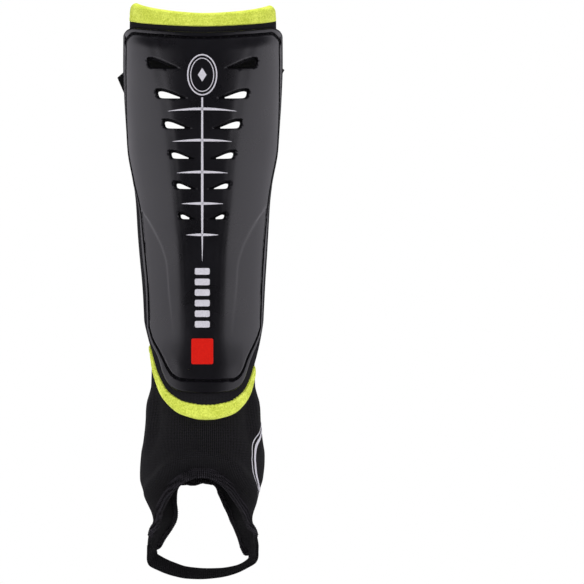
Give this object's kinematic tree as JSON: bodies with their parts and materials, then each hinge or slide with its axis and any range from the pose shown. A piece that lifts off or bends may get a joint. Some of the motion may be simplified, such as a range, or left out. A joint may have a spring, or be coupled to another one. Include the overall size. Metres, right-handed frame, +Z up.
{
  "type": "hockey shin guard",
  "caption": "Field hockey shin guard with a vented moulded shell on a foam liner, a rear strap, and an open-heel ankle sock with a stirrup.",
  "frame": {"origin": "on the leg's axis, at half the shell's height", "axes": "+Z up along the leg, -Y towards the front of the leg, +X to the right as seen from the front"},
  "size_m": [0.1247, 0.1058, 0.4333],
  "materials": {
    "moulded_plastic": "satin black, moulded, fine grain",
    "foam_cloth": "black knit over foam",
    "binding_cloth": "lime brushed knit",
    "elastic": "black woven elastic",
    "sock_knit": "black fine rib knit",
    "edge_knit": "black overlocked edge"
  },
  "bodies": {
    "root": {"shell": "moulded_plastic", "foam_liner": "foam_cloth", "top_binding": "binding_cloth", "bottom_binding": "binding_cloth", "rear_strap": "elastic", "strap_tab": "elastic", "ankle_sock": "sock_knit", "arch_binding": "edge_knit", "stirrup_strap": "sock_knit"}
  },
  "joints": []
}
